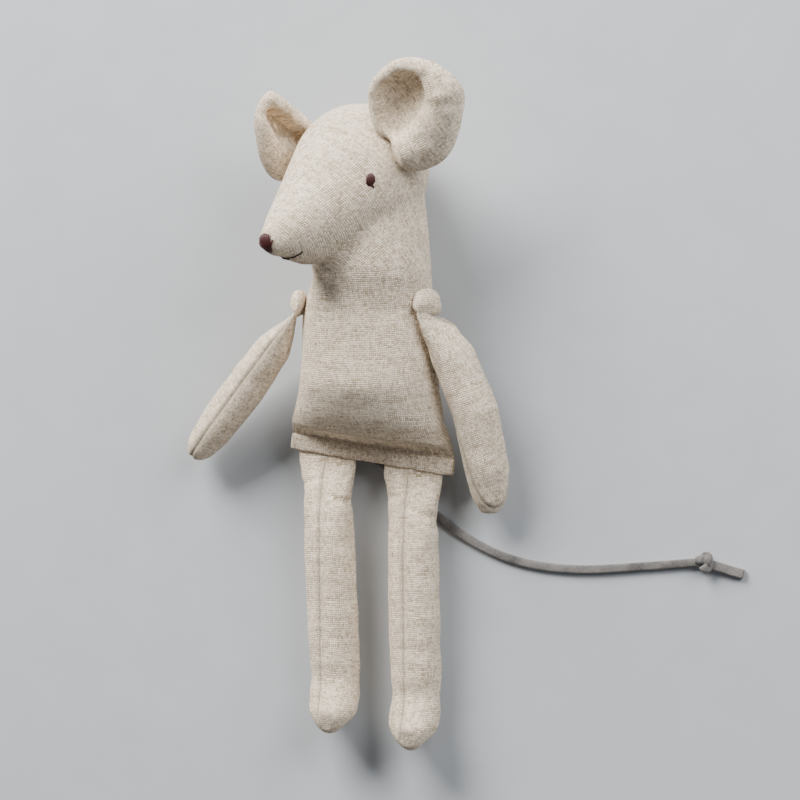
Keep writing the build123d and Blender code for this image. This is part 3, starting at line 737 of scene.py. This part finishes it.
def arm(side_name, body):
    """An arm, slim at its stitching, with its seam where the panels meet, and clear of the body beside it."""
    nodes = [f"{side_name}_arm_{part}" for part in ("outer_panel", "inner_panel", "stuffing")]
    pivot = joint_place(f"{side_name}_arm_raise")
    skin = bag_from(f"{side_name}_arm_skin", nodes, LIMB_VOXEL, 5)
    co = points_of(skin)
    low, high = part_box(nodes[2])
    hand = Vector((high.x if side_name == "left" else low.x, low.y, low.z + 5 * MM))
    reach = (hand - pivot).normalized()
    held = (co - np.array(pivot)) @ np.array(reach) < 6 * MM
    blow_up(skin, held, 2.0, 0.012, 0.8 * MM)
    subdivide(skin)
    co, out = points_of(skin), normals_of(skin)
    seed = 21.0 if side_name == "left" else 31.0
    folds = 0.3 * MM * noise_at(co, (7 * MM, 7 * MM, 9 * MM), seed)
    co = co + out * folds[:, None]
    along = (co - np.array(pivot)) @ np.array(reach)
    co -= np.array(reach) * (1.8 * MM * np.clip(1 - along / (3.0 * MM), 0, 1) ** 2)[:, None]
    set_points(skin, co)
    keep_clear(skin, body, 0.15 * MM)
    middle, facing = Vector(co.mean(axis=0)), seam_side(side_name, reach)
    draw_in_seam(skin, middle, facing, 0.45 * MM, 0.5 * MM, 0.2 * MM, reach, None, seed)
    centre, normal = np.array(middle), np.array(facing)
    panel_uv(skin, [
        (lambda c: (c - centre) @ normal >= 0, facing, reach * -1, 7 * MM, 0.0),
        (lambda c: (c - centre) @ normal < 0, facing * -1, reach * -1, 7 * MM, 0.0),
    ])
    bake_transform(skin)
    finish_skin(skin, LINEN, nodes)


def seam_side(side_name, reach):
    """The way that the arm's outer panel faces: its seam runs along the front of the right arm, and along the
    body side of the left one."""
    if side_name == "right":
        turned = Vector((0.0, 0.0, 1.0)).cross(reach)
    else:
        turned = Vector((0.55, 0.0, 0.84))
    turned = turned - reach * turned.dot(reach)
    return turned.normalized()


def shoulder_flap(side_name, body):
    """The soft end of the arm above its stitching: a small puffed pad, open to the arm, with a seam round its
    edge."""
    side = 1 if side_name == "left" else -1
    pivot = joint_place(f"{side_name}_arm_raise")
    line = joint_axis(f"{side_name}_arm_raise")
    out = joint_axis(f"{side_name}_arm_swing") * -side
    rings, around = 9, 56
    wide, tall, deep, square = 6.6 * MM, 9.0 * MM, 2.5 * MM, 0.62
    vertices = []
    for face_side in (1, -1):
        for ring in range(rings + 1):
            share = ring / rings
            for n in range(around):
                angle = 2 * math.pi * n / around
                x = squared(math.cos(angle), square) * share
                y = squared(math.sin(angle), square) * share
                height = tall * (0.5 + 0.5 * y)
                puff = deep * math.sqrt(max(0.0, 1 - share ** 2.5)) + 0.1 * MM
                puff *= 0.35 + 0.65 * min(1.0, height / (3.6 * MM))
                ripple = 0.3 * MM * noise.noise(Vector((x * 2, y * 2, 5.0 * side)))
                spread = 1.24 - 0.42 * height / tall
                vertices.append(pivot + line * (x * wide * spread) + UP * (height - 1.4 * MM)
                                + out * (face_side * puff + ripple - 0.08 * height))
    half_size = (rings + 1) * around
    faces = ring_faces(rings, around) + ring_faces(rings, around, half_size)
    rim = rings * around
    for n in range(around):
        m = (n + 1) % around
        faces.append((rim + n, rim + m, half_size + rim + m, half_size + rim + n))
    flap = new_piece(f"{side_name}_shoulder_pad", vertices, faces)
    subdivide(flap)
    keep_clear(flap, body, 0.5 * MM)
    panel_uv(flap, [(lambda c: np.ones(len(c), bool), out, UP, 2 * MM, 0.0)])
    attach(flap, f"{side_name}_shoulder")
    finish_skin(flap, LINEN, [f"{side_name}_shoulder_flap"])
    flap_stitches(side_name, pivot, line, out, wide)


def flap_stitches(side_name, pivot, line, out, wide):
    """The row of stitches that closes the arm below its end."""
    stitches = []
    for n in range(9):
        start = pivot + line * ((n - 4) / 4.4 * wide) - UP * 0.7 * MM + out * 0.7 * MM
        stitches.append([start, start + line * 0.3 * MM + UP * 0.5 * MM + out * 0.3 * MM,
                         start + line * 0.5 * MM + UP * 1.1 * MM])
    row = lay_threads(f"{side_name}_shoulder_stitching", stitches, 0.16 * MM, LINEN_THREAD)
    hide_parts(f"{side_name}_shoulder_stitches")
    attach(row, f"{side_name}_shoulder")


# Ears. Outlines are in millimetres from the root, along the ear and towards its upper rim. Depth is the
# hollow's, roll and steep limit the height of the roll round it, and bow bends the whole ear across.

EARS = {
    "left": {
        "centre": (11.5, 6.5), "depth": 2.8, "roll": 6.4, "steep": 0.5, "bow": 0.9,
        "edge": [(0.0, 1.6), (-1.0, 6.0), (1.6, 10.8), (5.4, 14.8), (10.0, 17.6), (16.4, 18.0), (23.8, 15.4),
                 (28.6, 9.8), (31.0, 2.2), (29.4, -6.8), (20.5, -12.6), (10.6, -16.0), (3.0, -15.2),
                 (-3.8, -10.0), (-3.4, -3.2)],
        "hollow": [(2.6, 1.6), (2.4, 6.8), (6.6, 12.4), (12.8, 14.6), (20.2, 12.4), (23.0, 7.0), (19.8, 1.6),
                   (12.8, -0.3), (6.0, 0.2)],
    },
    "right": {
        "centre": (13.0, 2.4), "depth": 3.6, "roll": 4.6, "steep": 0.75, "bow": 1.5,
        "edge": [(0.4, 3.0), (1.0, 7.4), (8.0, 9.4), (16.0, 10.8), (25.0, 11.8), (28.0, 7.8), (27.2, 1.2),
                 (22.2, -5.4), (16.2, -10.8), (9.0, -13.8), (1.8, -11.2), (-0.6, -4.0)],
        "hollow": [(3.6, 3.0), (8.6, 4.6), (16.0, 5.9), (23.0, 6.8), (24.4, 3.6), (17.6, -0.6), (10.0, -2.0)],
    },
}


def radius_round(points, centre):
    """How far a smooth closed outline through the points lies from the centre, at any angle."""
    outline = []
    for n in range(len(points)):
        a, b, c, d = (np.array(points[(n + k) % len(points)]) for k in range(4))
        for t in np.linspace(0, 1, 12, endpoint=False):
            outline.append(0.5 * (2 * b + (c - a) * t + (2 * a - 5 * b + 4 * c - d) * t ** 2
                                  + (3 * b - a - 3 * c + d) * t ** 3))
    away = np.array(outline) - centre
    angles, reach = np.arctan2(away[:, 1], away[:, 0]), np.linalg.norm(away, axis=1)
    return lambda angle: float(np.interp(angle, *sorted_by(angles, reach), period=2 * math.pi))


def sorted_by(keys, values):
    order = np.argsort(keys)
    return keys[order], values[order]


def ear_ways(side_name):
    """An ear's root, and the ways along it, towards its upper rim, and out of its face."""
    root = joint_place(f"{side_name}_ear_fold")
    co = points_of(frame["nodes"][f"{side_name}_ear_front_panel"])
    middle = co.mean(axis=0)
    _, _, ways = np.linalg.svd(co - middle, full_matrices=False)
    faces_way = Vector(ways[2])
    if faces_way.z < 0:
        faces_way.negate()
    axis = Vector(middle) - root
    axis = (axis - faces_way * axis.dot(faces_way)).normalized()
    return root, axis, faces_way.cross(axis) * (1 if side_name == "left" else -1), faces_way


def ear_section(shape, kind, share, outer, inner):
    """How far from the ear's centre the cloth is, and how high: a sunk floor, a roll round it, a round back."""
    if kind == "floor":
        return inner * share, -0.3 - shape["depth"] * (1 - share ** 3)
    if kind == "back":
        return outer * share, -3.4 * math.sqrt(1 - share ** 2.2)
    width, turn = outer - inner, share * math.pi
    highest = min(shape["roll"], shape["steep"] * width)
    return inner + width * (1 - math.cos(turn)) / 2, highest * math.sin(turn) ** 0.8


def ear(side_name, body):
    """An ear pinched at its root: a hollow beside the upper rim, and a full roll of cloth round the rest."""
    side = 1 if side_name == "left" else -1
    root, axis, upper, faces_way = ear_ways(side_name)
    shape = EARS[side_name]
    centre = np.array(shape["centre"])
    edge, hollow = radius_round(shape["edge"], centre), radius_round(shape["hollow"], centre)
    around, floor_rings, roll_rings, back_rings = 144, 10, 16, 12
    levels = [("floor", n / floor_rings) for n in range(floor_rings + 1)]
    levels += [("roll", n / roll_rings) for n in range(1, roll_rings + 1)]
    levels += [("back", 1 - n / back_rings) for n in range(1, back_rings + 1)]
    vertices = []
    for kind, share in levels:
        for n in range(around):
            angle = 2 * math.pi * n / around - math.pi
            outer, inner = edge(angle), min(hollow(angle), edge(angle) - 1.6)
            reach, z = ear_section(shape, kind, share, outer, inner)
            a, b = centre[0] + reach * math.cos(angle), centre[1] + reach * math.sin(angle)
            bend = shape["bow"] * ((b - centre[1]) / 16) ** 2
            z += 0.5 * noise.noise(Vector((a / 4, b / 4, 3.0 * side))) - bend
            vertices.append(root + (axis * a + upper * b + faces_way * (z + 2.7)) * MM)
    skin = new_piece(f"{side_name}_ear_skin", vertices, ring_faces(len(levels) - 1, around))
    subdivide(skin)
    keep_clear(skin, body, 0.6 * MM)
    panel_uv(skin, [(lambda c: np.ones(len(c), bool), faces_way, axis, 3 * MM, 25.0)])
    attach(skin, f"{side_name}_ear")
    nodes = [f"{side_name}_ear_{part}" for part in ("front_panel", "wadding", "back_panel")]
    finish_skin(skin, LINEN, nodes)


# Face


def nose(surface):
    """Satin stitches fanned from a broad top to a point below, over the end of the snout."""
    snout_back = Vector((NECK_AXIS.x, 0, NECK_AXIS.z)) + UP * SKULL_Y + FORWARD * 4 * MM
    axis = (NOSE - snout_back).normalized()
    nose_up = (UP - axis * UP.dot(axis)).normalized()
    tip = surface.find_nearest(NOSE + axis * 6 * MM + nose_up * 3.2 * MM + HEAD_LEFT * 3.0 * MM)[0]
    chains = []
    for n in range(11):
        share = (n - 5) / 5
        half_tall = 4.2 * MM * math.sqrt(max(0.0, 1 - share ** 2)) * 0.9 + 0.3 * MM
        x = 3.5 * MM * share
        low_pull = 1 - 0.55 * share ** 2
        top = tip + HEAD_LEFT * x + nose_up * (half_tall + 0.3 * MM)
        bottom = tip + HEAD_LEFT * (x * 0.35) - nose_up * (4.6 * MM * low_pull)
        chains.append(laid_chain(surface, top, bottom, 0.5 * MM, 9))
    stitches = lay_threads("embroidered_nose", chains, 0.27 * MM, BROWN_THREAD)
    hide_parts("nose")
    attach(stitches, "head")


def eye(surface, side_name):
    """Upright stitches side by side as a small oval, with one lash below."""
    low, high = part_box(f"{side_name}_eye")
    place, normal, _, _ = surface.find_nearest((low + high) / 2 - UP * 1.0 * MM)
    across = UP.cross(normal).normalized()
    upright = normal.cross(across)
    chains = []
    for n in range(7):
        share = (n - 3) / 3.4
        half = 1.95 * MM * math.sqrt(1 - share ** 2) + 0.2 * MM
        middle = place + across * share * 1.4 * MM + upright * 0.15 * MM * share
        chains.append(laid_chain(surface, middle + upright * half, middle - upright * half, 0.4 * MM))
    lash = place - upright * 2.5 * MM + across * 1.2 * MM
    chains.append(laid_chain(surface, place - upright * 1.2 * MM, lash, 0.3 * MM))
    stitches = lay_threads(f"embroidered_{side_name}_eye", chains, 0.26 * MM, BROWN_THREAD)
    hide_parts(f"{side_name}_eye")
    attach(stitches, "head")


def mouth(surface):
    """A smile of three stitches to each side of the chin, and one short stitch down its middle."""
    chin = NECK_AXIS + FORWARD * CHIN_REACH + UP * (CHIN_Y - NECK_Y)
    chains = []
    for side in (1, -1):
        route = [chin, chin + HEAD_LEFT * side * 1.8 * MM - FORWARD * 1.2 * MM + UP * 0.2 * MM,
                 chin + HEAD_LEFT * side * 3.8 * MM - FORWARD * 2.4 * MM + UP * 1.4 * MM,
                 chin + HEAD_LEFT * side * 5.0 * MM - FORWARD * 3.4 * MM + UP * 3.4 * MM]
        for a, b in zip(route, route[1:]):
            chains.append(laid_chain(surface, a, b, 0.3 * MM))
    chains.append(laid_chain(surface, chin + FORWARD * 1.5 * MM, chin - FORWARD * 2.2 * MM, 0.3 * MM))
    stitches = lay_threads("embroidered_mouth", chains, 0.24 * MM, BLACK_THREAD)
    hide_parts("mouth")
    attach(stitches, "head")


# Tail


def lace_path(name, points, samples):
    """A smooth NURBS line through the route, and its points in order."""
    curve = bpy.data.curves.new(name, "CURVE")
    curve.dimensions = "3D"
    spline = curve.splines.new("NURBS")
    spline.points.add(len(points) - 1)
    for target, point in zip(spline.points, points):
        target.co = (*point, 1.0)
    spline.order_u = 3
    spline.use_endpoint_u = True
    spline.resolution_u = samples
    holder = bpy.data.objects.new(name, curve)
    bpy.context.collection.objects.link(holder)
    depsgraph = bpy.context.evaluated_depsgraph_get()
    mesh = bpy.data.meshes.new_from_object(holder.evaluated_get(depsgraph))
    path = [v.co.copy() for v in mesh.vertices]
    bpy.data.meshes.remove(mesh)
    bpy.data.objects.remove(holder)
    bpy.data.curves.remove(curve)
    return path


def lace_tube(name, path, half_width, half_depth, twist=None, squareness=0.55):
    """A flat lace swept along a path, with rounded cut edges; twist gives its roll in radians on the way."""
    around = 20
    vertices = []
    up = Vector((0.0, 0.0, 1.0))
    for n, point in enumerate(path):
        ahead = (path[min(n + 1, len(path) - 1)] - path[max(n - 1, 0)]).normalized()
        across = ahead.cross(up).normalized()
        top = across.cross(ahead).normalized()
        roll = twist(n / (len(path) - 1)) if twist else 0.0
        across, top = (across * math.cos(roll) + top * math.sin(roll),
                       top * math.cos(roll) - across * math.sin(roll))
        for k in range(around):
            angle = 2 * math.pi * k / around
            x = squared(math.cos(angle), squareness) * half_width
            y = squared(math.sin(angle), squareness) * half_depth
            vertices.append(point + across * x + top * y)
    faces = ring_faces(len(path) - 1, around)
    faces.append(tuple(range(around - 1, -1, -1)))
    faces.append(tuple((len(path) - 1) * around + k for k in range(around)))
    return new_piece(name, vertices, faces)


def knot_loop(centre, turns=72):
    """An overhand knot: a trefoil left open where the lace comes in and goes out."""
    loop = []
    for n in range(turns + 1):
        t = 2 * math.pi * (0.06 + 0.88 * n / turns)
        x, y = 0.7 * (math.cos(t) - 2 * math.cos(2 * t)), 0.74 * (math.sin(t) + 2 * math.sin(2 * t))
        loop.append(centre + Vector((x, y, -0.95 * math.sin(3 * t) - 0.35)) * MM)
    return loop


def tail():
    """The lace, its knot and its cut tip, as three pieces along one route."""
    path = lace_path("tail_route", [Vector(p) * MM for p in TAIL_POINTS], 24)
    lace = lace_tube("tail_lace_suede", path, TAIL_WIDTH / 2, TAIL_THICKNESS / 2)
    lace.data.materials.append(SUEDE)
    low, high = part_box("tail_knot")
    loop = knot_loop((low + high) / 2)
    knot = lace_tube("tail_overhand_knot", loop, 1.4 * MM, 0.9 * MM, None, 0.7)
    knot.data.materials.append(SUEDE)
    low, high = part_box("tail_tip")
    start = Vector((low.x + 0.3 * MM, high.y - 2.0 * MM, 1.3 * MM))
    end = Vector((high.x - 0.7 * MM, low.y + 1.9 * MM, 0.95 * MM))
    tip_path = lace_path("tip_route", [start, start.lerp(end, 0.35) + Vector((0, 0.2, 0.5)) * MM,
                                       start.lerp(end, 0.7) + Vector((0, -0.1, 0.2)) * MM, end], 12)
    tip = lace_tube("tail_tip_suede", tip_path, 1.55 * MM, 0.75 * MM, lambda share: 0.35 * (1 - share), 0.4)
    tip.data.materials.append(SUEDE)
    for piece, node in ((lace, "tail_lace"), (knot, "tail_knot"), (tip, "tail_tip")):
        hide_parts(node)
        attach(piece, "torso")


def sewn_threads():
    """The thread shanks that hold the arms on keep their modelled shape."""
    for side_name in ("left", "right"):
        node = frame["nodes"][f"{side_name}_shoulder_thread"]
        node.data.materials.clear()
        node.data.materials.append(LINEN_THREAD)


# Floor, light and camera


def pale_floor():
    """A plain painted board, barely brushed."""
    bpy.ops.mesh.primitive_plane_add(size=6.0, location=(0, 0, 0))
    floor = bpy.context.object
    floor.name = "floor"
    material, tree = new_material("pale_painted_board")
    place = add(tree, "ShaderNodeTexCoord").outputs["Object"]
    brushed = add(tree, "ShaderNodeTexNoise", {}, Vector=place, Scale=60.0, Detail=4.0).outputs[0]
    shade = add(tree, "ShaderNodeMix", {"data_type": "RGBA"}, i0=brushed, i6=linear("#B2B6BA"),
                i7=linear("#BCC0C4"))
    shader = add(tree, "ShaderNodeBsdfPrincipled", {}, Base_Color=shade.outputs[2], Roughness=0.8)
    add(tree, "ShaderNodeOutputMaterial", {}, Surface=shader.outputs[0])
    floor.data.materials.append(material)


def soft_light():
    """A dim even room, a large window beyond the head to one side, and a wall that throws some light back."""
    world = bpy.data.worlds.new("soft_room")
    bpy.context.scene.world = world
    world.use_nodes = True
    world.node_tree.nodes["Background"].inputs[0].default_value = (0.93, 0.96, 1.0, 1.0)
    world.node_tree.nodes["Background"].inputs[1].default_value = 0.15
    for name, place, size, power, colour in (
            ("window", (-0.58, 1.05, 0.7), 0.8, 52.0, (1.0, 0.98, 0.95)),
            ("far_wall", (0.95, 0.75, 0.8), 0.9, 21.0, (0.97, 0.98, 1.0))):
        light = bpy.data.lights.new(name, "AREA")
        light.size = size
        light.energy = power
        light.color = colour
        holder = bpy.data.objects.new(name, light)
        bpy.context.collection.objects.link(holder)
        holder.location = place
        holder.rotation_euler = (Vector((0, 0, 0.02)) - Vector(place)).to_track_quat("-Z", "Y").to_euler()


def camera_above():
    """Straight above the doll but for a yaw towards its left."""
    yaw = math.radians(CAMERA_YAW)
    back = Vector((math.sin(yaw), 0.0, math.cos(yaw)))
    right = Vector((math.cos(yaw), 0.0, -math.sin(yaw)))
    lens = bpy.data.cameras.new("camera")
    lens.sensor_width = SENSOR
    lens.lens = SENSOR * CAMERA_DISTANCE / VIEW_WIDTH
    camera = bpy.data.objects.new("camera", lens)
    bpy.context.collection.objects.link(camera)
    turn = Matrix((right, (0.0, 1.0, 0.0), back)).transposed()
    camera.matrix_world = Matrix.Translation(CAMERA_TARGET + back * CAMERA_DISTANCE) @ turn.to_4x4()
    bpy.context.scene.camera = camera


pale_floor()
soft_light()
camera_above()
tail()
body = surface_of(body_skin())
hem()
for which in ("left", "right"):
    leg(which)
    arm(which, body)
    shoulder_flap(which, body)
    ear(which, body)
nose(body)
for which in ("left", "right"):
    eye(body, which)
mouth(body)
sewn_threads()
